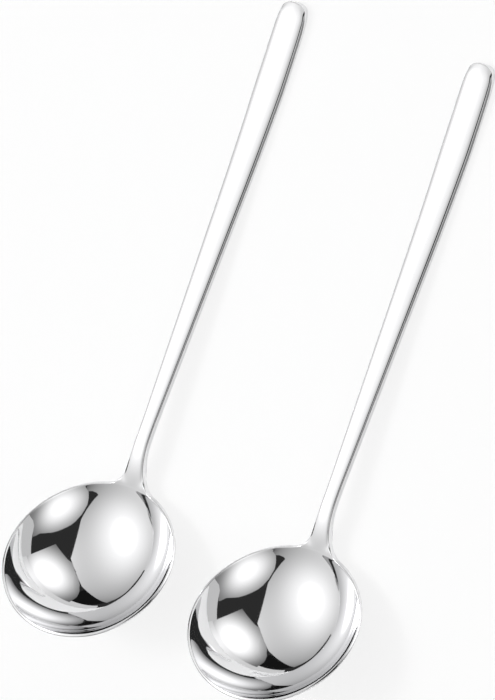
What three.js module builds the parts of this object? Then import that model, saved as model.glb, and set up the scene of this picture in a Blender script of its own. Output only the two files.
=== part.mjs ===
// Pair of round-bowl serving spoons, each one pressing of polished stainless steel.
// Millimetres, +Z up. The spoons lie side by side on z = 0 with their handles towards +X.
import * as THREE from 'three';

// Bowl
const MOUTH_RADIUS = 26.2;      // inside edge of the rim
const BOWL_DEPTH = 13.9;        // rim plane to the inside of the bottom
const BOWL_WALL = 1.0;

// Neck
const NECK_WIDTH = 4.6;         // narrowest place of the handle
const NECK_FROM_RIM = 17.2;     // rim to the narrowest place
const FLARE_WIDTH = 15.4;       // across the neck's flare where it leaves the rim
const FLARE_ROOT = 5.8;         // how far the flare follows the rim's line, then the handle's side
const FLARE_RUN = 11.8;
const NECK_BEND = 30;           // from the bowl's wall into the line of the handle, seen from the side
const WALL_GRADING_START = 17;  // distance from the bowl's centre where the wall starts to thicken

// Handle
const HANDLE_RISE = THREE.MathUtils.degToRad(23.8);
const SWEEP_RADIUS = 620;       // upward sweep of the handle's far part, seen from the side
const SWEEP_FROM_END = 55;      // the sweep starts here
const HANDLE_REACH = 163;       // bowl's centre to the end, measured in the rim plane
const HANDLE_WIDTH = 10.2;
const HANDLE_THICKNESS = 2.7;
const WIDEST_FROM_END = 24;     // the end starts to draw in here
const END_FLATNESS = 11;        // powers of the rounded end's curve
const END_ROUNDNESS = 2.8;
const CROWN = 0.45;             // swell of the handle's upper face

// Edges
const EDGE_SHARE = 0.24;        // polished rounding all round, as a share of the wall

// Pair
const PAIR_PITCH = 65.94;       // centre line to centre line
const PAIR_STAGGER = 1.65;      // the right spoon lies further towards +X by this

// Facets
const RINGS = 11;
const RIM_STEPS = 50;
const ACROSS = 5;
const FLARE_STEPS = 10;
const TAPER_STEPS = 14;
const END_STEPS = 8;

// The bowl's inside is part of a sphere, and the neck leaves it along the slope that it has at the rim.
const sphereRadius = (MOUTH_RADIUS ** 2 + BOWL_DEPTH ** 2) / (2 * BOWL_DEPTH);
const sphereHeight = sphereRadius - BOWL_DEPTH;
const rimSlope = Math.asin(MOUTH_RADIUS / sphereRadius);
const bendEnd = MOUTH_RADIUS + NECK_BEND * (Math.sin(rimSlope) - Math.sin(HANDLE_RISE));
const bendHeight = NECK_BEND * (Math.cos(HANDLE_RISE) - Math.cos(rimSlope));

// The neck's flare leaves the rim along its circle and runs out along the side of the handle.
const neckX = MOUTH_RADIUS + NECK_FROM_RIM;
const neckHalfAngle = Math.asin(FLARE_WIDTH / 2 / MOUTH_RADIUS);
const rimSide = new THREE.Vector2(Math.cos(neckHalfAngle), Math.sin(neckHalfAngle));
const flareStart = rimSide.clone().multiplyScalar(MOUTH_RADIUS);
const flare = new THREE.CubicBezierCurve(
  flareStart,
  new THREE.Vector2(rimSide.y, -rimSide.x).multiplyScalar(FLARE_ROOT).add(flareStart),
  new THREE.Vector2(neckX - FLARE_RUN, NECK_WIDTH / 2),
  new THREE.Vector2(neckX, NECK_WIDTH / 2),
);
const endStart = HANDLE_REACH - WIDEST_FROM_END;
const sweepStart = HANDLE_REACH - SWEEP_FROM_END;
const sweepHeight = bendHeight + (sweepStart - bendEnd) * Math.tan(HANDLE_RISE);

// Slope angle of the upper face at a distance r from the bowl's axis.
function slopeAt(r) {
  if (r <= MOUTH_RADIUS) return Math.asin(r / sphereRadius);
  if (r < bendEnd) return Math.asin(Math.sin(rimSlope) - (r - MOUTH_RADIUS) / NECK_BEND);
  if (r < sweepStart) return HANDLE_RISE;
  return Math.asin(Math.sin(HANDLE_RISE) + (r - sweepStart) / SWEEP_RADIUS);
}

// Height of the upper face above the rim plane at a distance r from the bowl's axis.
function heightAt(r) {
  if (r <= MOUTH_RADIUS) return sphereHeight - Math.sqrt(sphereRadius ** 2 - r ** 2);
  if (r < bendEnd) return NECK_BEND * (Math.cos(slopeAt(r)) - Math.cos(rimSlope));
  if (r < sweepStart) return bendHeight + (r - bendEnd) * Math.tan(HANDLE_RISE);
  return sweepHeight + SWEEP_RADIUS * (Math.cos(HANDLE_RISE) - Math.cos(slopeAt(r)));
}

// Thickness of the steel: thin in the bowl, full in the handle, graded through the neck.
function thicknessAt(x) {
  const grade = THREE.MathUtils.smoothstep(x, WALL_GRADING_START, bendEnd);
  return THREE.MathUtils.lerp(BOWL_WALL, HANDLE_THICKNESS, grade);
}

// One place of the spoon: its point on the upper face before crowning, the face's normal and the wall there.
// The dish runs out through the neck, so the back of the handle is a true plane.
function place(x, y, crown) {
  const dish = 1 - THREE.MathUtils.smoothstep(x, MOUTH_RADIUS, bendEnd);
  const r = Math.hypot(x, y * dish);
  const slope = slopeAt(r);
  const run = r > 0 ? Math.sin(slope) / r : 0;
  return {
    point: new THREE.Vector3(x, y, heightAt(r)),
    normal: new THREE.Vector3(-x * run, -y * dish * run, Math.cos(slope)).normalize(),
    wall: thicknessAt(x),
    crown,
  };
}

// Rings of places from the bowl's centre to its rim. The first ones of each ring face the neck.
function bowlRings() {
  const angles = [];
  for (let j = 0; j <= ACROSS; j += 1) {
    const share = (2 * j) / ACROSS - 1;
    angles.push(Math.asin(share * Math.sin(neckHalfAngle)));
  }
  for (let i = 1; i < RIM_STEPS; i += 1) {
    angles.push(neckHalfAngle + ((2 * Math.PI - 2 * neckHalfAngle) * i) / RIM_STEPS);
  }
  const rings = [];
  for (let m = 1; m <= RINGS; m += 1) {
    const r = sphereRadius * Math.sin((rimSlope * m) / RINGS);
    rings.push(angles.map((angle) => place(r * Math.cos(angle), r * Math.sin(angle), 0)));
  }
  return rings;
}

// Share of the rounded end's length at a step, with the steps closing up towards the tip.
function endShare(step) {
  return Math.sin((Math.PI / 2) * (step / END_STEPS));
}

// Half width of the rounded end, at a share of its length.
function endHalfWidth(along) {
  return (HANDLE_WIDTH / 2) * (1 - along ** END_FLATNESS) ** (1 / END_ROUNDNESS);
}

// Edge points of the neck and handle, seen from above: flare, taper and rounded end.
function handleEdge() {
  const edge = [];
  for (let k = 1; k <= FLARE_STEPS; k += 1) {
    const side = flare.getPoint(k / FLARE_STEPS);
    edge.push({ x: side.x, half: side.y });
  }
  for (let k = 1; k <= TAPER_STEPS; k += 1) {
    const x = THREE.MathUtils.lerp(neckX, endStart, k / TAPER_STEPS);
    edge.push({ x, half: THREE.MathUtils.lerp(NECK_WIDTH, HANDLE_WIDTH, k / TAPER_STEPS) / 2 });
  }
  for (let k = 1; k < END_STEPS; k += 1) {
    const along = endShare(k);
    edge.push({ x: endStart + WIDEST_FROM_END * along, half: endHalfWidth(along) });
  }
  return edge;
}

// Cross rows of places along the neck and handle. The last row lies on the curve of the end, and starts
// half a step short of the tip.
function handleRows() {
  const rows = handleEdge().map(({ x, half }) => {
    const bow = Math.sqrt(MOUTH_RADIUS ** 2 - half ** 2);
    const rise = THREE.MathUtils.smoothstep(x, MOUTH_RADIUS, neckX);
    const swell = (CROWN * rise * half) / (HANDLE_WIDTH / 2);
    const row = [];
    for (let j = 0; j <= ACROSS; j += 1) {
      const share = (2 * j) / ACROSS - 1;
      const y = half * share;
      row.push(place(x + Math.sqrt(MOUTH_RADIUS ** 2 - y ** 2) - bow, y, swell * (1 - share ** 2)));
    }
    return row;
  });
  const tipHalf = endHalfWidth(endShare(END_STEPS - 0.5));
  const tip = [];
  for (let j = 0; j <= ACROSS; j += 1) {
    const y = tipHalf * ((2 * j) / ACROSS - 1);
    const inset = 1 - Math.abs((2 * y) / HANDLE_WIDTH) ** END_ROUNDNESS;
    tip.push(place(endStart + WIDEST_FROM_END * inset ** (1 / END_FLATNESS), y, 0));
  }
  rows.push(tip);
  return rows;
}

// Closed solid of one spoon in its own frame: rim plane at z = 0, handle towards +X.
function spoonGeometry() {
  const rings = bowlRings();
  const rim = rings[RINGS - 1];
  const rows = [rim.slice(0, ACROSS + 1), ...handleRows()];
  const last = rows.length - 1;
  const places = [place(0, 0, 0), ...rings.flat(), ...rows.slice(1).flat()];
  places.forEach((spot, index) => { spot.index = index; });

  // The free edge, once round, each place with the neighbour that its polished edge draws back to.
  const edge = [];
  for (let i = ACROSS; i <= ACROSS + RIM_STEPS; i += 1) {
    const step = i % rim.length;
    edge.push([rim[step], rings[RINGS - 2][step]]);
  }
  for (let k = 1; k <= last; k += 1) edge.push([rows[k][0], rows[k][1]]);
  for (let j = 1; j < ACROSS; j += 1) edge.push([rows[last][j], rows[last - 1][j]]);
  for (let k = last; k >= 1; k -= 1) edge.push([rows[k][ACROSS], rows[k][ACROSS - 1]]);

  const drawn = new Map();
  for (const [spot, inner] of edge) {
    const back = inner.point.clone().sub(spot.point);
    drawn.set(spot, back.setLength(Math.min(EDGE_SHARE * spot.wall, 0.7 * back.length())));
  }
  const vertices = [];
  const add = (spot, depth, shift) => {
    const vertex = spot.point.clone().addScaledVector(spot.normal, -depth);
    if (shift) vertex.add(shift);
    vertices.push(vertex);
  };
  for (const spot of places) add(spot, -spot.crown, drawn.get(spot));
  for (const spot of places) add(spot, spot.wall, drawn.get(spot));
  for (const [spot] of edge) add(spot, EDGE_SHARE * spot.wall, null);
  for (const [spot] of edge) add(spot, (1 - EDGE_SHARE) * spot.wall, null);

  const faces = [];
  const back = places.length;
  const quad = (a, b, c, d) => faces.push(a, b, c, a, c, d);
  const sheet = (a, b, c, d) => {
    quad(a.index, b.index, c.index, d.index);
    quad(back + a.index, back + d.index, back + c.index, back + b.index);
  };
  for (let i = 0; i < rim.length; i += 1) {
    const next = (i + 1) % rim.length;
    const [a, b] = [rings[0][i].index, rings[0][next].index];
    faces.push(0, a, b, back, back + b, back + a);
    for (let m = 1; m < RINGS; m += 1) {
      sheet(rings[m - 1][i], rings[m][i], rings[m][next], rings[m - 1][next]);
    }
  }
  for (let k = 1; k <= last; k += 1) {
    for (let j = 0; j < ACROSS; j += 1) {
      sheet(rows[k - 1][j], rows[k][j], rows[k][j + 1], rows[k - 1][j + 1]);
    }
  }
  const upper = 2 * places.length;
  const lower = upper + edge.length;
  edge.forEach(([spot], i) => {
    const next = (i + 1) % edge.length;
    const after = edge[next][0];
    quad(spot.index, upper + i, upper + next, after.index);
    quad(upper + i, lower + i, lower + next, upper + next);
    quad(lower + i, back + spot.index, back + after.index, lower + next);
  });

  const geometry = new THREE.BufferGeometry();
  geometry.setFromPoints(vertices);
  geometry.setIndex(faces);
  geometry.computeVertexNormals();
  return geometry;
}

// Tilt at which the bowl and the end of the handle both touch the table.
function restTilt(geometry) {
  const position = geometry.getAttribute('position');
  const outside = sphereRadius + BOWL_WALL;
  let tilt = Infinity;
  for (let i = 0; i < position.count; i += 1) {
    const x = position.getX(i);
    const z = position.getZ(i) - sphereHeight;
    if (x < bendEnd) continue;
    tilt = Math.min(tilt, Math.atan2(z, x) + Math.asin(outside / Math.hypot(x, z)));
  }
  return tilt;
}

const polishedSteel = { color: 0xd9dadb, roughness: 0.08, metalness: 1 };

function spoon(name, x, y, geometry) {
  const mesh = new THREE.Mesh(geometry, new THREE.MeshStandardMaterial(polishedSteel));
  mesh.name = name;
  mesh.position.set(x, y, 0);
  return mesh;
}

// Both spoons are turned into the way that they lie, then set down on z = 0 about the middle of the pair.
const pressing = spoonGeometry();
pressing.rotateY(restTilt(pressing));
pressing.computeBoundingBox();
const lying = pressing.boundingBox;
pressing.translate(-(lying.min.x + lying.max.x) / 2, 0, -lying.min.z);

const pair = new THREE.Group();
pair.add(spoon('left_spoon', -PAIR_STAGGER / 2, PAIR_PITCH / 2, pressing));
pair.add(spoon('right_spoon', PAIR_STAGGER / 2, -PAIR_PITCH / 2, pressing));

export default pair;
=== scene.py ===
"""Pair of round-bowl serving spoons in mirror-polished steel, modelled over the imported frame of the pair.

Lengths are metres. A spoon is modelled in its rim frame, where the rim plane is z = 0 and the handle runs
towards +X. It is then laid down in the place of its node.
"""

import math
from collections import Counter
from typing import NamedTuple

import bmesh
import bpy
from bpy.props import FloatProperty, FloatVectorProperty, IntProperty, PointerProperty
from mathutils import Matrix, Vector
from mathutils.geometry import interpolate_bezier


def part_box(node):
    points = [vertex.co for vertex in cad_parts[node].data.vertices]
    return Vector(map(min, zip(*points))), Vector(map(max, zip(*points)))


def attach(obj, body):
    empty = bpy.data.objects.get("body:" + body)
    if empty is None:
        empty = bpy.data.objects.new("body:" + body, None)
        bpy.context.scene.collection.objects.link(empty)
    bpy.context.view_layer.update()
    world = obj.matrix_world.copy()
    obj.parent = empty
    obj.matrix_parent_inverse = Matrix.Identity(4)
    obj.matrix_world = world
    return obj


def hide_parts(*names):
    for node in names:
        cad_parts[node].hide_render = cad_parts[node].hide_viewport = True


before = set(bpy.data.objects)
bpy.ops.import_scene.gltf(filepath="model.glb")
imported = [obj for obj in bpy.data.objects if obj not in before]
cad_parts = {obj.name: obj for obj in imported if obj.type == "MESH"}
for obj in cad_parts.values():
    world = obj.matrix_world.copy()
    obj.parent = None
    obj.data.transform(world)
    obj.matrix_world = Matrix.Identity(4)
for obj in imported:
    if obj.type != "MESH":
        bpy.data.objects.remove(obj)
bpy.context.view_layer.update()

bl_info = {
    "name": "Round-Bowl Serving Spoons",
    "version": (1, 0, 0),
    "blender": (4, 5, 0),
    "location": "View3D > Sidebar > Spoons",
    "description": "Models a pair of polished steel serving spoons and the studio that they lie in",
    "category": "Object",
}

MM = 0.001
# Faces of the handle's section, from its middle line outwards: where each face ends, as a share of the half
# width, and the slopes of its upper and its lower side, in degrees.
HANDLE_SECTION = (
    (0.25, 2.5, 0),
    (0.5, 5, 0),
    (0.68, 9, 0),
    (0.79, 17, 0),
    (0.89, 27.5, 10),
    (0.9, 29.5, 20),
    (0.91, 53, 30),
    (1, 53, 62),
)
NECK_STEPS = 2 * len(HANDLE_SECTION)
EDGE_SHARE = 0.03           # rounding of the handle's edges, as a share of its half width
# Steps between the handle's cross rows, which stand closer together past the neck and round the end.
NECK_ROW_STEP, SIDE_ROW_STEP, END_ROW_STEP = 2.5 * MM, 5 * MM, 2 * MM
NECK_ROW_REACH = 12 * MM    # how far past the neck its closer rows go
ON_OUTLINE = 0.15 * MM      # a vertex this close to the outline counts as on it
SAME_PLACE = 0.1 * MM       # places closer than this count as one


def length(name, description, default):
    """A length that a user can change."""
    return FloatProperty(name=name, description=description, default=default, min=0, precision=5,
                         unit="LENGTH")


def offset(name, description, default):
    """A length to either side that a user can change."""
    return FloatProperty(name=name, description=description, default=default, precision=5, unit="LENGTH")


def angle(name, description, degrees):
    """An angle that a user can change."""
    return FloatProperty(name=name, description=description, default=math.radians(degrees), subtype="ANGLE")


def share(name, description, default):
    """A share from nothing to all that a user can change."""
    return FloatProperty(name=name, description=description, default=default, min=0, max=1, subtype="FACTOR")


def number(name, description, default):
    """A plain number that a user can change."""
    return FloatProperty(name=name, description=description, default=default, min=0)


def tally(name, description, default):
    """A number of faces, rows or rings that a user can change."""
    return IntProperty(name=name, description=description, default=default, min=4)


def colour(name, description, default):
    """A colour that a user can change."""
    return FloatVectorProperty(name=name, description=description, default=default, size=3, min=0, max=1,
                               subtype="COLOR")


class SpoonSizes(bpy.types.PropertyGroup):
    """Driving sizes of one spoon."""

    mouth_radius: length("Mouth radius", "Inside edge of the rim", 26.2 * MM)
    bowl_depth: length("Bowl depth", "Rim plane to the inside of the bottom", 13.9 * MM)
    bowl_wall: length("Bowl wall", "Steel in the bowl", 1.0 * MM)
    neck_width: length("Neck width", "Narrowest place of the handle", 4.6 * MM)
    neck_from_rim: length("Neck from rim", "Rim to the place where the flare runs into the handle", 17.2 * MM)
    flare_root: length("Flare root", "How long the flare keeps to the rim's direction", 5.8 * MM)
    flare_run: length("Flare run", "How long the flare keeps to the handle's direction", 11.8 * MM)
    neck_bend: length("Neck bend", "Radius from the bowl's wall into the line of the handle", 30 * MM)
    grading_start: length("Grading start", "Distance from the bowl's centre where the wall thickens", 17 * MM)
    handle_rise: angle("Handle rise", "Slope of the handle over the rim plane", 23.8)
    sweep_radius: length("Sweep radius", "Radius of the upward sweep of the handle's far part", 620 * MM)
    sweep_from_end: length("Sweep from end", "Distance from the end where the sweep starts", 55 * MM)
    handle_reach: length("Handle reach", "Bowl's centre to the end, in the rim plane", 163 * MM)
    handle_width: length("Handle width", "Widest place of the handle", 10.2 * MM)
    handle_thickness: length("Handle thickness", "Steel in the handle", 2.7 * MM)
    widest_from_end: length("Widest from end", "Distance from the end where it starts to draw in", 24 * MM)
    end_flatness: number("End flatness", "Power along the rounded end", 11)
    end_roundness: number("End roundness", "Power across the rounded end", 2.8)
    end_gap: length("End gap", "Last cross row to the tip", 2.0 * MM)
    own_width: share("Own width", "Share of a place's own half width in the depth of its section", 0.75)
    tip_flatness: share("Tip flatness", "How much flatter the section is at the tip", 0.42)
    tip_start: length("Tip start", "Distance from the tip where the section starts to flatten", 5 * MM)
    tip_full: length("Tip full", "Distance from the tip where the section is flattest", 1 * MM)
    crown: length("Crown", "Swell of the handle's upper face", 0.45 * MM)
    shoulder_run: length("Shoulder run", "Rim to the place where the handle's shoulder is full", 2.8 * MM)
    rim_edge: length("Rim edge", "Rounding of the bowl's rim", 0.28 * MM)
    rim_turn: length("Rim turn", "How far the rim turns up at the bowl's sides", 0.7 * MM)
    rim_turn_power: number("Rim turn power", "How close to its edge the rim turns up", 18)
    rim_turn_start: angle("Rim turn start", "Angle from the handle where the rim starts to turn up", 50)
    rim_turn_full: angle("Rim turn full", "Angle from the handle where the rim is fully turned up", 105)
    rim_turn_fade: angle("Rim turn fade", "Angle from the handle where the turn starts to fade", 120)
    rim_turn_end: angle("Rim turn end", "Angle from the handle where the rim is plain again", 150)
    rim_steps: tally("Rim steps", "Faces once round the bowl", 168)
    flare_steps: tally("Flare steps", "Cross rows of the flare", 14)
    bowl_rings: tally("Bowl rings", "Rings of faces, centre to rim", 40)
    patch_rings: tally("Patch rings", "Rings that the middle patch replaces", 11)


class SteelFinish(bpy.types.PropertyGroup):
    """Look of the polished steel."""

    pale: colour("Pale steel", "Brighter tint of the polish", (0.86, 0.86, 0.865))
    deep: colour("Deep steel", "Darker tint of the polish", (0.82, 0.82, 0.83))
    gloss: share("Gloss", "Roughness of the clearest polish", 0.02)
    haze: share("Haze", "Roughness of the haziest polish", 0.05)
    clouds: number("Clouds", "Patches of tint and haze to a metre", 55)
    ripple: length("Ripple", "Height of the long waves left by the polishing wheel", 0.006 * MM)
    ripples: number("Ripples", "Long waves to a metre", 70)
    lines: length("Lines", "Height of the fine polishing lines", 0.0002 * MM)
    line_scale: FloatVectorProperty(name="Line scale", description="Fine lines to a metre, along and across",
                                    default=(60, 6000, 6000), size=3, subtype="XYZ")


class StudioLook(bpy.types.PropertyGroup):
    """Floor, light and camera."""

    floor_size: length("Floor size", "Side of the floor", 16)
    floor_colour: colour("Floor", "Pale floor", (0.97, 0.97, 0.97))
    floor_white: share("Floor white", "Share of plain white in the floor", 0.8)
    mirrored_white: share("Mirrored white", "Share of plain white in the floor that the polish shows", 0.35)
    floor_grain: number("Floor grain", "Grains of the floor to a metre", 900)
    room_radius: length("Room radius", "Spoons to the dark cloth round the studio", 7)
    cloth: number("Dark cloth", "Brightness of the dark cloth, where 1 is white", 0.028)
    surround: colour("Surround", "World outside the dark cloth", (0.9, 0.9, 0.9))
    camera_azimuth: angle("Camera azimuth", "Turn of the camera round the spoons", 8.344)
    camera_elevation: angle("Camera elevation", "Height of the camera over the floor", 62.268)
    camera_roll: angle("Camera roll", "Turn of the picture", -79.086)
    camera_distance: length("Camera distance", "Camera to the spoons", 6)
    camera_reach: length("Camera reach", "Farthest place that the camera sees", 24)
    view_height: length("View height", "Height of the picture at the spoons", 208.52 * MM)
    aim_right: offset("Aim right", "Picture's middle, to the right", -11.92 * MM)
    aim_up: offset("Aim up", "Picture's middle, upwards", 0.82 * MM)


def smoothstep(value, low, high):
    """Smooth change from 0 at low to 1 at high."""
    t = min(max((value - low) / (high - low), 0), 1)
    return t * t * (3 - 2 * t)


class SectionPlace(NamedTuple):
    """Place in the handle's section, as shares of the half width."""

    across: float
    drop: float                 # upper side, below its middle line
    rise: float                 # lower side, above its middle line


class SpoonForm:
    """Outline and upper face of a spoon in its rim frame."""

    def __init__(self, sizes):
        self.sizes = sizes
        mouth, depth, bend = sizes.mouth_radius, sizes.bowl_depth, sizes.neck_bend
        self.sphere_radius = (mouth ** 2 + depth ** 2) / (2 * depth)
        self.sphere_height = self.sphere_radius - depth
        self.rim_slope = math.asin(mouth / self.sphere_radius)
        rise = sizes.handle_rise
        self.bend_end = mouth + bend * (math.sin(self.rim_slope) - math.sin(rise))
        self.bend_height = bend * (math.cos(rise) - math.cos(self.rim_slope))
        self.sweep_start = sizes.handle_reach - sizes.sweep_from_end
        self.sweep_height = self.bend_height + (self.sweep_start - self.bend_end) * math.tan(rise)
        self.end_start = sizes.handle_reach - sizes.widest_from_end
        self.last_row = sizes.handle_reach - sizes.end_gap
        # The flare leaves the rim where the neck's faces start, and runs into the side of the handle.
        self.neck_angle = math.pi * NECK_STEPS / sizes.rim_steps
        side = Vector((math.cos(self.neck_angle), math.sin(self.neck_angle)))
        root, neck = side * mouth, Vector((mouth + sizes.neck_from_rim, sizes.neck_width / 2))
        leave, arrive = Vector((side.y, -side.x)) * sizes.flare_root, Vector((sizes.flare_run, 0))
        self.flare = interpolate_bezier(root, root + leave, neck - arrive, neck, sizes.flare_steps + 1)
        self.neck_x = neck.x

    def slope_at(self, r):
        """Slope angle of the upper face at a distance from the bowl's axis."""
        sizes = self.sizes
        if r <= sizes.mouth_radius:
            return math.asin(r / self.sphere_radius)
        if r < self.bend_end:
            return math.asin(math.sin(self.rim_slope) - (r - sizes.mouth_radius) / sizes.neck_bend)
        if r < self.sweep_start:
            return sizes.handle_rise
        return math.asin(math.sin(sizes.handle_rise) + (r - self.sweep_start) / sizes.sweep_radius)

    def height_at(self, r):
        """Height of the upper face over the rim plane at a distance from the bowl's axis."""
        sizes = self.sizes
        if r <= sizes.mouth_radius:
            return self.sphere_height - math.sqrt(self.sphere_radius ** 2 - r ** 2)
        if r < self.bend_end:
            return sizes.neck_bend * (math.cos(self.slope_at(r)) - math.cos(self.rim_slope))
        if r < self.sweep_start:
            return self.bend_height + (r - self.bend_end) * math.tan(sizes.handle_rise)
        swept = math.cos(sizes.handle_rise) - math.cos(self.slope_at(r))
        return self.sweep_height + sizes.sweep_radius * swept

    def half_width_at(self, x):
        """Half width of the neck and handle, seen square to the rim plane."""
        sizes = self.sizes
        if x < self.neck_x:
            pairs = zip(self.flare, self.flare[1:])
            near, far = next((pair for pair in pairs if x < pair[1].x), self.flare[-2:])
            return near.y + (far.y - near.y) * (x - near.x) / (far.x - near.x)
        if x < self.end_start:
            along = (x - self.neck_x) / (self.end_start - self.neck_x)
            return (sizes.neck_width + (sizes.handle_width - sizes.neck_width) * along) / 2
        along = min((x - self.end_start) / sizes.widest_from_end, 1)
        return sizes.handle_width / 2 * (1 - along ** sizes.end_flatness) ** (1 / sizes.end_roundness)

    def end_at(self, y):
        """Distance of the rounded end's outline at a place across the handle."""
        sizes = self.sizes
        across = min(abs(y) / (sizes.handle_width / 2), 1) ** sizes.end_roundness
        return self.end_start + sizes.widest_from_end * (1 - across) ** (1 / sizes.end_flatness)

    def wall_grade_at(self, x):
        """0 where the steel is as thin as the bowl's, 1 where it is as thick as the handle's."""
        return smoothstep(x, self.sizes.grading_start, self.bend_end)

    def rim_turn_at(self, place):
        """0 where the bowl keeps its round, 1 where the rim is fully turned up."""
        sizes = self.sizes
        out = min(math.hypot(place.x, place.y) / sizes.mouth_radius, 1)
        round_from_handle = abs(math.atan2(place.y, place.x))
        turned = smoothstep(round_from_handle, sizes.rim_turn_start, sizes.rim_turn_full)
        faded = smoothstep(round_from_handle, sizes.rim_turn_fade, sizes.rim_turn_end)
        return out ** sizes.rim_turn_power * turned * (1 - faded)

    def section_at(self, place):
        """Place in the handle's section of a vertex that stands in an evenly spaced row."""
        half, out = self.half_width_at(place.x), abs(place.y)
        faces = len(HANDLE_SECTION) * (out / half if half - out > ON_OUTLINE else 1)
        across = drop = rise = start = 0
        for inner_faces, (stop, upper, lower) in enumerate(HANDLE_SECTION):
            part = min(max(faces - inner_faces, 0), 1) * (stop - start)
            across, start = across + part, stop
            drop += part * math.tan(math.radians(upper))
            rise += part * math.tan(math.radians(lower))
        return SectionPlace(across, drop, rise)

    def size_at(self, x):
        """Half width that the handle's section goes by, which eases off round the end."""
        sizes = self.sizes
        own, full = self.half_width_at(x), self.half_width_at(min(x, self.end_start))
        flat = smoothstep(x, sizes.handle_reach - sizes.tip_start, sizes.handle_reach - sizes.tip_full)
        return (full + (own - full) * sizes.own_width) * (1 - sizes.tip_flatness * flat)

    def shoulder_grade_at(self, x):
        """0 where the sheet keeps the bowl's round, 1 where it has the handle's full shoulder."""
        return smoothstep(x, self.sizes.mouth_radius, self.sizes.mouth_radius + self.sizes.shoulder_run)

    def swell_grade_at(self, x):
        """0 where both sides are plain, 1 where they have the handle's crown and raised lower edges."""
        return smoothstep(x, self.sizes.mouth_radius, (self.sizes.mouth_radius + self.neck_x) / 2)

    def edge_at(self, x):
        """Rounding of the edges at a distance along the spoon."""
        sizes = self.sizes
        handle = EDGE_SHARE * self.half_width_at(min(max(x, sizes.mouth_radius), self.end_start))
        return sizes.rim_edge + (handle - sizes.rim_edge) * self.wall_grade_at(x)

    def row_places(self):
        """Distances of the cross rows of the neck and handle, where each meets the outline."""
        places = [point.x for point in self.flare[1:]]
        stretches = (
            (self.neck_x + NECK_ROW_REACH, NECK_ROW_STEP),
            (self.end_start, SIDE_ROW_STEP),
            (self.last_row, END_ROW_STEP),
        )
        start = self.neck_x
        for stop, step in stretches:
            count = math.ceil((stop - start) / step)
            places += [start + (stop - start) * k / count for k in range(1, count + 1)]
            start = stop
        return places

    def row_at(self, x):
        """Half width, edge height and bows, along and upwards, of the row that meets the outline at x."""
        sizes = self.sizes
        half = self.half_width_at(x)
        bow = sizes.mouth_radius - math.sqrt(sizes.mouth_radius ** 2 - half ** 2)
        bow += (sizes.end_gap - bow) * smoothstep(x, self.end_start, self.last_row)
        dish = 1 - smoothstep(x, sizes.mouth_radius, self.bend_end)
        height = self.height_at(math.hypot(x, half * dish))
        return half, height, bow, self.height_at(x + bow) - height


def edit_select(obj, kind, test):
    """In edit mode, selects only the vertices or edges that pass a test."""
    bpy.ops.mesh.select_mode(type={"verts": "VERT", "edges": "EDGE"}[kind])
    bpy.ops.mesh.select_all(action="DESELECT")
    mesh = bmesh.from_edit_mesh(obj.data)
    for item in getattr(mesh, kind):
        if test(item):
            item.select_set(True)
    mesh.select_flush_mode()
    bmesh.update_edit_mesh(obj.data)


def apply_modifier(obj, kind, **settings):
    """Adds a modifier to the active object and applies it."""
    modifier = obj.modifiers.new(kind.title(), kind)
    for name, value in settings.items():
        setattr(modifier, name, value)
    bpy.ops.object.modifier_apply(modifier=modifier.name)


def weigh(obj, name, weight_of):
    """Gives an object a vertex group whose weights come from the vertices' places."""
    group = obj.vertex_groups.new(name=name)
    for vertex in obj.data.vertices:
        weight = weight_of(vertex)
        if weight > 0:
            group.add([vertex.index], weight, "REPLACE")


def move(obj, axis, distance_of):
    """Moves the vertices of the active object along an axis, all to the same side."""
    distances = [distance_of(vertex) for vertex in obj.data.vertices]
    most = max(distances, key=abs)
    if most == 0:
        return
    weigh(obj, "moved", lambda v: distances[v.index] / most)
    apply_modifier(obj, "DISPLACE", direction=axis, strength=most, mid_level=0, vertex_group="moved")
    obj.vertex_groups.remove(obj.vertex_groups["moved"])


def raise_bowl(form):
    """Models the inside of the bowl as a cap of a sphere, with a patch of even faces in its middle."""
    sizes = form.sizes
    centre = (0, 0, form.sphere_height)
    ring = form.rim_slope / sizes.bowl_rings
    bpy.ops.object.select_all(action="DESELECT")
    bpy.ops.mesh.primitive_uv_sphere_add(
        segments=sizes.rim_steps,
        ring_count=math.floor(math.pi / ring),
        radius=form.sphere_radius,
        location=centre,
    )
    obj = bpy.context.object
    bpy.ops.object.transform_apply(location=True, rotation=True, scale=True)
    bpy.ops.object.mode_set(mode="EDIT")
    bpy.ops.mesh.select_all(action="SELECT")
    bpy.ops.mesh.bisect(plane_co=(0, 0, 0), plane_no=(0, 0, 1), clear_outer=True)
    patch_radius = form.sphere_radius * math.sin(ring * (sizes.patch_rings - 0.5))
    edit_select(obj, "verts", lambda v: math.hypot(v.co.x, v.co.y) < patch_radius)
    bpy.ops.mesh.delete(type="VERT")
    edit_select(obj, "verts", lambda v: v.is_boundary and v.co.z < -sizes.bowl_depth / 2)
    mesh = bmesh.from_edit_mesh(obj.data)
    towards_handle = max((v for v in mesh.verts if v.select), key=lambda v: v.co.x)
    mesh.select_history.add(towards_handle)     # the grid has a corner at the active vertex
    bpy.ops.mesh.fill_grid(span=sizes.rim_steps // 4)
    bpy.ops.mesh.select_all(action="SELECT")
    bpy.ops.transform.tosphere(value=1, center_override=centre)
    bpy.ops.object.mode_set(mode="OBJECT")
    return obj


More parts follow.
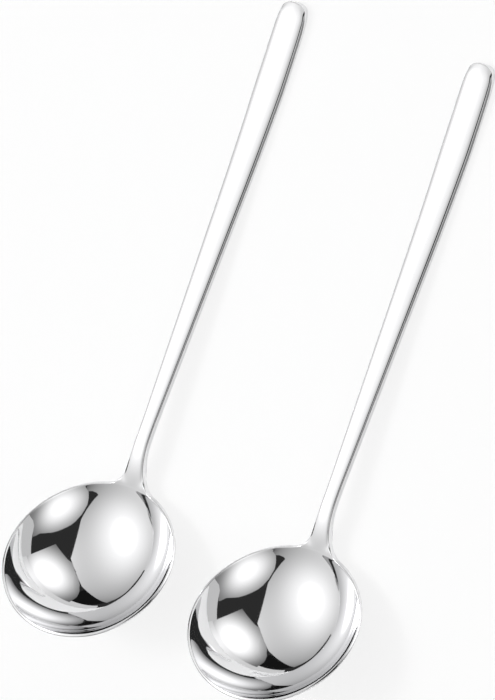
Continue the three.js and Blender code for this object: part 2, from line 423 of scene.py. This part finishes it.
def draw_out_handle(obj, form):
    """Draws the neck and handle out of the rim, one cross row after the other."""
    sizes = form.sizes
    reach = form.neck_angle + math.pi / sizes.rim_steps     # half a face past the neck

    def in_neck(edge):
        return edge.is_boundary and all(abs(math.atan2(v.co.y, v.co.x)) < reach for v in edge.verts)

    bpy.ops.object.mode_set(mode="EDIT")
    edit_select(obj, "edges", in_neck)
    half = sizes.mouth_radius * math.sin(form.neck_angle)
    bow, tilt = sizes.mouth_radius * (1 - math.cos(form.neck_angle)), 0
    last = Vector((sizes.mouth_radius * math.cos(form.neck_angle), 0, 0))
    for x in form.row_places():
        new_half, height, bow_along, bow_up = form.row_at(x)
        new_bow, new_tilt = math.hypot(bow_along, bow_up), math.atan2(bow_up, bow_along)
        place = Vector((x, 0, height))
        bpy.ops.mesh.extrude_region_move(TRANSFORM_OT_translate={"value": place - last})
        bpy.ops.transform.resize(
            value=(new_bow / bow, new_half / half, new_bow / bow), center_override=place)
        bpy.ops.transform.rotate(value=new_tilt - tilt, orient_axis="Y", center_override=place)
        half, bow, tilt, last = new_half, new_bow, new_tilt, place
    round_off_end(obj, form, tilt)
    bpy.ops.object.mode_set(mode="OBJECT")


def round_off_end(obj, form, tilt):
    """Moves the vertices of the last row, in pairs, onto the outline of the rounded end."""
    row = [v.co.copy() for v in bmesh.from_edit_mesh(obj.data).verts if v.select]
    outline = max(point.y for point in row)
    for point in row:
        if not -SAME_PLACE < point.y < outline - SAME_PLACE:
            continue
        edit_select(obj, "verts", lambda v: v.is_boundary and abs(v.co.x - point.x) < SAME_PLACE
                    and abs(abs(v.co.y) - abs(point.y)) < SAME_PLACE)
        ahead = form.end_at(point.y) - point.x
        bpy.ops.transform.translate(value=(ahead, 0, ahead * math.tan(tilt)))


def face_up(obj):
    """Turns the faces of the sheet upwards, to the inside of the bowl."""
    bpy.ops.object.mode_set(mode="EDIT")
    bpy.ops.mesh.select_all(action="SELECT")
    bpy.ops.mesh.normals_make_consistent(inside=False)
    bpy.ops.object.mode_set(mode="OBJECT")
    if min(obj.data.polygons, key=lambda face: face.center.z).normal.z < 0:
        bpy.ops.object.mode_set(mode="EDIT")
        bpy.ops.mesh.flip_normals()
        bpy.ops.object.mode_set(mode="OBJECT")


def border_of(mesh):
    """Edges of a sheet that have a face on one side only, as pairs of vertices."""
    uses = Counter(key for face in mesh.polygons for key in face.edge_keys)
    return [key for key, faces in uses.items() if faces == 1]


def give_wall(obj, form):
    """Turns up the rim, gives the sheet its graded wall and shapes both sides of the handle."""
    sizes = form.sizes
    face_up(obj)
    move(obj, "Z", lambda v: sizes.rim_turn * form.rim_turn_at(v.co))
    sections = [form.section_at(v.co) for v in obj.data.vertices]
    shoulders = [form.size_at(v.co.x) * form.shoulder_grade_at(v.co.x) for v in obj.data.vertices]
    swells = [form.size_at(v.co.x) * form.swell_grade_at(v.co.x) for v in obj.data.vertices]
    border = border_of(obj.data)

    def spread(v):
        """How far a vertex moves out of the even row, to the end of its face in the section."""
        wide = form.half_width_at(v.co.x) * sections[v.index].across - abs(v.co.y)
        return form.shoulder_grade_at(v.co.x) * max(wide, 0)

    for side in (1, -1):
        move(obj, "Y", lambda v: side * spread(v) if v.co.y * side > 0 else 0)
    weigh(obj, "wall", lambda v: form.wall_grade_at(v.co.x))
    apply_modifier(obj, "SOLIDIFY", thickness=sizes.handle_thickness, offset=-1, vertex_group="wall",
                   thickness_vertex_group=sizes.bowl_wall / sizes.handle_thickness, use_quality_normals=True)
    obj.vertex_groups.remove(obj.vertex_groups["wall"])
    # The sheet's vertices are now the upper side, and those of the lower side follow them in the same order.
    count, upright = len(sections), math.cos(sizes.handle_rise)
    still = [0] * count
    crowns = [sizes.crown / (sizes.handle_width / 2) * swell / upright for swell in swells]
    drops = [-shoulder * section.drop / upright for shoulder, section in zip(shoulders, sections)]
    rises = [swell * section.rise / upright for swell, section in zip(swells, sections)]
    for heights in (crowns + still, drops + still, still + rises):
        move(obj, "Z", lambda v: heights[v.index])
    round_edges(obj, form, {(i + first, j + first) for i, j in border for first in (0, count)})


def round_edges(obj, form, border):
    """Rounds the rim and the handle's edges, then smooths the whole spoon."""
    sizes = form.sizes
    weights = obj.data.attributes.new("bevel_weight_edge", "FLOAT", "EDGE")
    for edge in obj.data.edges:
        if edge.key in border:
            x = sum(obj.data.vertices[i].co.x for i in edge.vertices) / 2
            weights.data[edge.index].value = form.edge_at(x) / sizes.rim_edge
    apply_modifier(obj, "BEVEL", width=sizes.rim_edge, segments=3, limit_method="WEIGHT",
                   use_clamp_overlap=False)
    apply_modifier(obj, "SUBSURF", levels=1, render_levels=1)
    bpy.ops.object.shade_smooth()


def lay_down(obj, form):
    """Tilts the spoon until the bowl and the handle's end both touch the table."""
    outside = form.sphere_radius + form.sizes.bowl_wall
    tilt = math.inf
    for vertex in obj.data.vertices:
        x, z = vertex.co.x, vertex.co.z - form.sphere_height
        if x > form.bend_end:
            tilt = min(tilt, math.atan2(z, x) + math.asin(outside / math.hypot(x, z)))
    obj.rotation_euler.y = tilt
    bpy.ops.object.transform_apply(location=True, rotation=True, scale=True)


def corners(obj):
    """Lowest and highest corner of a mesh."""
    points = [v.co for v in obj.data.vertices]
    low = Vector(min(p[i] for p in points) for i in range(3))
    high = Vector(max(p[i] for p in points) for i in range(3))
    return low, high


def put_in_place(obj, node):
    """Moves a spoon to the middle of its node's box, on the same floor, and shrinks what sticks out."""
    low, high = corners(obj)
    node_low, node_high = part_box(node)
    fit = [min(1, (node_high[i] - node_low[i]) / (high[i] - low[i])) for i in range(3)]
    obj.scale = fit
    middle, node_middle = (low + high) / 2, (node_low + node_high) / 2
    obj.location = [node_middle[i] - middle[i] * fit[i] for i in range(3)]
    obj.location.z = node_low.z - low.z * fit[2]
    bpy.ops.object.transform_apply(location=True, rotation=True, scale=True)


class NodeBench:
    """Short way to set up the nodes of one material."""

    def __init__(self, name):
        self.material = bpy.data.materials.new(name)
        self.material.use_nodes = True
        self.tree = self.material.node_tree
        self.tree.nodes.clear()

    def add(self, kind, inputs=(), **settings):
        """Adds a node, with values or sockets on its inputs."""
        node = self.tree.nodes.new(kind)
        for name, value in settings.items():
            setattr(node, name, value)
        for name, value in dict(inputs).items():
            if isinstance(value, bpy.types.NodeSocket):
                self.tree.links.new(value, node.inputs[name])
            else:
                node.inputs[name].default_value = value
        return node

    def math(self, operation, *values):
        """Adds a sum and gives its result."""
        return self.add("ShaderNodeMath", dict(enumerate(values)), operation=operation).outputs[0]

    def noise(self, place, scale, detail):
        """Adds a noise and gives its strength."""
        inputs = {"Vector": place, "Scale": scale, "Detail": detail}
        return self.add("ShaderNodeTexNoise", inputs).outputs["Fac"]

    def out(self, shader):
        """Ends the material with a shader and gives the material."""
        self.add("ShaderNodeOutputMaterial", {"Surface": shader})
        return self.material


def steel_material(finish):
    """Mirror polish with a trace of haze, long waves from the wheel and fine lines along the handle."""
    bench = NodeBench("polished_steel")
    place = bench.add("ShaderNodeTexCoord").outputs["Object"]
    cloud = bench.noise(place, scale=finish.clouds, detail=3)
    tint = bench.add("ShaderNodeValToRGB", {"Fac": cloud})
    for stop, steel in zip(tint.color_ramp.elements, (finish.deep, finish.pale)):
        stop.color = (*steel, 1)
    haze = bench.add("ShaderNodeMapRange", {
        "Value": cloud, "From Min": 0.3, "From Max": 0.7, "To Min": finish.gloss, "To Max": finish.haze})
    waves = bench.noise(place, scale=finish.ripples, detail=1)
    along = bench.add("ShaderNodeMapping", {"Vector": place, "Scale": finish.line_scale}).outputs["Vector"]
    lines = bench.noise(along, scale=1, detail=2)
    ripple = bench.add("ShaderNodeBump", {"Height": waves, "Distance": finish.ripple})
    brushed = bench.add("ShaderNodeBump", {
        "Height": lines, "Distance": finish.lines, "Normal": ripple.outputs["Normal"]})
    shader = bench.add("ShaderNodeBsdfPrincipled", {
        "Base Color": tint.outputs["Color"],
        "Metallic": 1,
        "Roughness": haze.outputs["Result"],
        "Normal": brushed.outputs["Normal"],
    })
    return bench.out(shader.outputs["BSDF"])


def floor_material(look):
    """Pale matt floor with a share of plain white, of which the polish sees less."""
    bench = NodeBench("pale_floor")
    place = bench.add("ShaderNodeTexCoord").outputs["Object"]
    grain = bench.noise(place, scale=look.floor_grain, detail=2)
    rough = bench.add("ShaderNodeMapRange", {"Value": grain, "To Min": 0.85, "To Max": 0.95})
    matt = bench.add("ShaderNodeBsdfPrincipled", {
        "Base Color": (*look.floor_colour, 1),
        "Roughness": rough.outputs["Result"],
        "Specular IOR Level": 0.1,
    })
    white = bench.add("ShaderNodeEmission", {"Color": (1, 1, 1, 1), "Strength": 1})
    path = bench.add("ShaderNodeLightPath").outputs
    mirrored = bench.math("ADD", path["Is Glossy Ray"], path["Is Transmission Ray"])
    seen = bench.math("MULTIPLY", path["Is Camera Ray"], look.floor_white)
    whiteness = bench.math("MULTIPLY_ADD", mirrored, look.mirrored_white, seen)
    mixed = bench.add("ShaderNodeMixShader", {0: whiteness, 1: matt.outputs[0], 2: white.outputs[0]})
    return bench.out(mixed.outputs[0])


class StudioPanel(NamedTuple):
    """Flat panel of the studio.

    Its corners and its glow are places in its plane, as shares of its distance.
    """

    name: str
    towards: tuple              # direction from the spoons
    corners: tuple
    cloth: float                # brightness of its front
    lamp: float = 0             # brightness that the lamp behind it adds
    lamp_at: tuple = (0, 0)     # middle of the lamp's glow
    lamp_reach: tuple = (1, 1)  # how far the glow spreads, along and across
    lamp_turn: float = 0        # turn of the glow, in radians
    bulb: float = 0             # brightness that the bulb adds in the middle of the lamp
    drift: float = 0            # change of brightness from one pair of opposite corners to the other
    distance: float = 2.5       # from the spoons


PANELS = (
    StudioPanel(
        "main_softbox", (0, 0.5, 0.866),
        ((-1.55, 0.07), (-1.05, 1.07), (0.25, 1.25), (0.57, 1.14), (0.75, 1.04), (0.93, 0.93), (1.08, 0.8),
         (1.2, 0.88), (1.36, 1.1), (1.48, 1.5), (1.8, 1.5), (1.9, 0.5), (1.62, 0.2), (1.3, -0.62),
         (0.86, -0.75), (0.76, -0.66), (0.62, -0.69), (0.53, -0.76), (0.46, -0.82), (0.4, -1.7),
         (-0.22, -1.7), (-0.24, -1.03), (-0.54, -1.1), (-0.69, -1.16), (-0.87, -1.24), (-1.09, -1.29),
         (-1.42, -1.33), (-1.6, -1.36)),
        cloth=0.627, lamp=0.68, lamp_at=(0.14, -0.03), lamp_reach=(0.707, 0.585), lamp_turn=0.826,
        bulb=19, drift=-0.18,
    ),
    StudioPanel(
        "right_softbox", (0.841, -0.37, 0.394),
        ((-0.43, -0.3), (-0.43, 0.46), (0, 0.47), (0.12, 0.5), (0.3, 0.4), (0.5, 0.32), (0.62, 0.24),
         (0.68, 0.17), (0.76, 0.1), (0.82, 0), (0.86, -0.1), (0.87, -0.3)),
        cloth=0.05, lamp=1.6, lamp_at=(0.05, -0.06), lamp_reach=(0.5, 0.41),
    ),
    StudioPanel(
        "left_softbox", (-0.269, -0.653, 0.708),
        ((-1.4, 0.02), (-0.62, 0.05), (-0.58, 0.16), (-0.46, 0.25), (-0.33, 0.315), (-0.1, 0.35),
         (0.08, 0.34), (0.2, 0.31), (0.33, 0.245), (0.46, 0.165), (0.58, 0.065), (0.68, -0.06),
         (0.78, -0.19), (0.93, -0.29), (1.03, -0.38), (0.9, -0.41), (0.7, -0.45), (0.6, -0.55),
         (0.55, -0.9), (-1.4, -0.9)),
        cloth=0.2, lamp=1.2, lamp_at=(0.03, -0.07), lamp_reach=(0.5, 0.31), lamp_turn=-0.3,
    ),
    StudioPanel(
        "front_board", (0.208, -0.978, 0),
        ((-0.625, 0), (0.625, 0), (0.625, 0.25), (-0.625, 0.395)),
        cloth=0.6, distance=4.5,
    ),
    StudioPanel(
        "end_board", (0.9986, -0.0523, 0),
        ((-0.9325, 0), (0.9325, 0), (0.9325, 0.074), (-0.9325, 0.29)),
        cloth=0.68, lamp=0.45, lamp_at=(-0.39, 0), lamp_reach=(0.35, 1), distance=4.5,
    ),
    StudioPanel(
        "black_card", (0.783, 0.622, 0),
        ((-0.435, 0.09), (0.435, 0.09), (0.435, 0.6), (-0.435, 0.6)),
        cloth=0.008, distance=6,
    ),
)
BULB_TIGHTNESS = 25         # how many times steeper than the lamp's glow the bulb's falls away


def panel_material(panel):
    """Lit cloth, brightest over its lamp."""
    bench = NodeBench(panel.name)
    place = bench.add("ShaderNodeTexCoord").outputs["Object"]
    lamp = bench.add("ShaderNodeMapping", {
        "Vector": place, "Location": (*panel.lamp_at, 0), "Rotation": (0, 0, panel.lamp_turn),
        "Scale": (*panel.lamp_reach, 1)}, vector_type="TEXTURE").outputs["Vector"]
    away = bench.add("ShaderNodeVectorMath", {0: lamp, 1: lamp}, operation="DOT_PRODUCT").outputs["Value"]
    across = bench.add("ShaderNodeSeparateXYZ", {"Vector": place}).outputs
    corner = bench.math("MULTIPLY", across["X"], across["Y"])
    lit = bench.math("MULTIPLY_ADD", corner, panel.drift, panel.cloth)
    for peak, steepness in ((panel.lamp, 1), (panel.bulb, BULB_TIGHTNESS)):
        glow = bench.math("EXPONENT", bench.math("MULTIPLY", away, -steepness))
        lit = bench.math("MULTIPLY_ADD", glow, peak, lit)
    return bench.out(bench.add("ShaderNodeEmission", {"Strength": lit}).outputs[0])


def cloth_material(look):
    """Dark cloth, with the little light that it gives back."""
    bench = NodeBench("dark_cloth")
    return bench.out(bench.add("ShaderNodeEmission", {"Strength": look.cloth}).outputs[0])


def out_of_sight(obj):
    """Keeps a studio piece out of the picture itself, though not out of the reflections."""
    obj.visible_camera = False


def hang_panel(panel):
    """Hangs a panel so that it faces the spoons."""
    bpy.ops.object.select_all(action="DESELECT")
    bpy.ops.mesh.primitive_circle_add(vertices=len(panel.corners), fill_type="NGON")
    obj = bpy.context.object
    obj.name = panel.name
    for vertex, corner in zip(obj.data.vertices, panel.corners):
        vertex.co = (*corner, 0)
    away = Vector(panel.towards).normalized()
    side = Vector((0, 0, 1)).cross(away).normalized()
    turn = Matrix((side, away.cross(side), away)).transposed().to_4x4()
    obj.matrix_world = Matrix.Translation(away * panel.distance) @ turn @ Matrix.Scale(panel.distance, 4)
    obj.data.materials.append(panel_material(panel))
    out_of_sight(obj)


def studio_camera(look):
    """Long lens at the angle that shows both bowls and the length of both handles."""
    azimuth, elevation = look.camera_azimuth, look.camera_elevation
    back = Vector((math.cos(elevation) * math.sin(azimuth), -math.cos(elevation) * math.cos(azimuth),
                   math.sin(elevation)))
    side = Vector((math.cos(azimuth), math.sin(azimuth), 0))
    turn = Matrix((side, back.cross(side), back)).transposed() @ Matrix.Rotation(look.camera_roll, 3, "Z")
    aim = turn @ Vector((look.aim_right, look.aim_up, 0))
    bpy.ops.object.camera_add()
    camera = bpy.context.object
    camera.matrix_world = Matrix.Translation(aim + back * look.camera_distance) @ turn.to_4x4()
    camera.data.lens = camera.data.sensor_width * look.camera_distance / look.view_height
    camera.data.clip_end = look.camera_reach
    bpy.context.scene.camera = camera


class SPOONS_OT_press_spoons(bpy.types.Operator):
    """Model one spoon, polish it and lay two of them in the places of their nodes"""

    bl_idname = "spoons.press_spoons"
    bl_label = "Spoons"

    def execute(self, context):
        form = SpoonForm(context.scene.spoon_sizes)
        first = raise_bowl(form)
        draw_out_handle(first, form)
        give_wall(first, form)
        lay_down(first, form)
        first.data.materials.append(steel_material(context.scene.steel_finish))
        bpy.ops.object.duplicate(linked=False)
        second = bpy.context.object
        for obj, node in ((first, "left_spoon"), (second, "right_spoon")):
            bpy.ops.object.select_all(action="DESELECT")
            obj.select_set(True)
            context.view_layer.objects.active = obj
            obj.name = node + "_polished"
            put_in_place(obj, node)
            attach(obj, node)
            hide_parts(node)
        return {"FINISHED"}


class SPOONS_OT_set_stage(bpy.types.Operator):
    """Set up the floor, the softboxes, the dark cloth round them and the camera"""

    bl_idname = "spoons.set_stage"
    bl_label = "Stage"

    def execute(self, context):
        look = context.scene.studio_look
        bpy.ops.object.select_all(action="DESELECT")
        bpy.ops.mesh.primitive_plane_add(size=look.floor_size)
        floor = bpy.context.object
        floor.name = "floor"
        floor.data.materials.append(floor_material(look))
        bpy.ops.mesh.primitive_uv_sphere_add(segments=48, ring_count=24, radius=look.room_radius)
        room = bpy.context.object
        room.name = "dark_cloth"
        room.data.materials.append(cloth_material(look))
        out_of_sight(room)
        for panel in PANELS:
            hang_panel(panel)
        world = bpy.data.worlds.new("pale_surround")
        world.use_nodes = True
        world.node_tree.nodes["Background"].inputs["Color"].default_value = (*look.surround, 1)
        context.scene.world = world
        studio_camera(look)
        context.scene.view_settings.view_transform = "Standard"
        return {"FINISHED"}


class SPOONS_PT_panel(bpy.types.Panel):
    """Sizes, finish and studio of the spoons"""

    bl_idname = "SPOONS_PT_panel"
    bl_label = "Serving Spoons"
    bl_space_type = "VIEW_3D"
    bl_region_type = "UI"
    bl_category = "Spoons"

    def draw(self, context):
        for operator in OPERATORS:
            self.layout.operator(operator.bl_idname)
        for name, group in SETTINGS.items():
            box = self.layout.box()
            for key in group.__annotations__:
                box.prop(getattr(context.scene, name), key)


OPERATORS = (SPOONS_OT_press_spoons, SPOONS_OT_set_stage)
SETTINGS = {"spoon_sizes": SpoonSizes, "steel_finish": SteelFinish, "studio_look": StudioLook}


def register():
    """Registers the settings, the operators and the panel."""
    for cls in (*SETTINGS.values(), *OPERATORS, SPOONS_PT_panel):
        bpy.utils.register_class(cls)
    for name, group in SETTINGS.items():
        setattr(bpy.types.Scene, name, PointerProperty(type=group))


def unregister():
    """Takes away what register added."""
    for name in SETTINGS:
        delattr(bpy.types.Scene, name)
    for cls in reversed((*SETTINGS.values(), *OPERATORS, SPOONS_PT_panel)):
        bpy.utils.unregister_class(cls)


def main():
    """Registers the add-on, models the spoons and sets the stage."""
    register()
    bpy.ops.spoons.press_spoons()
    bpy.ops.spoons.set_stage()


if __name__ == "__main__":
    main()
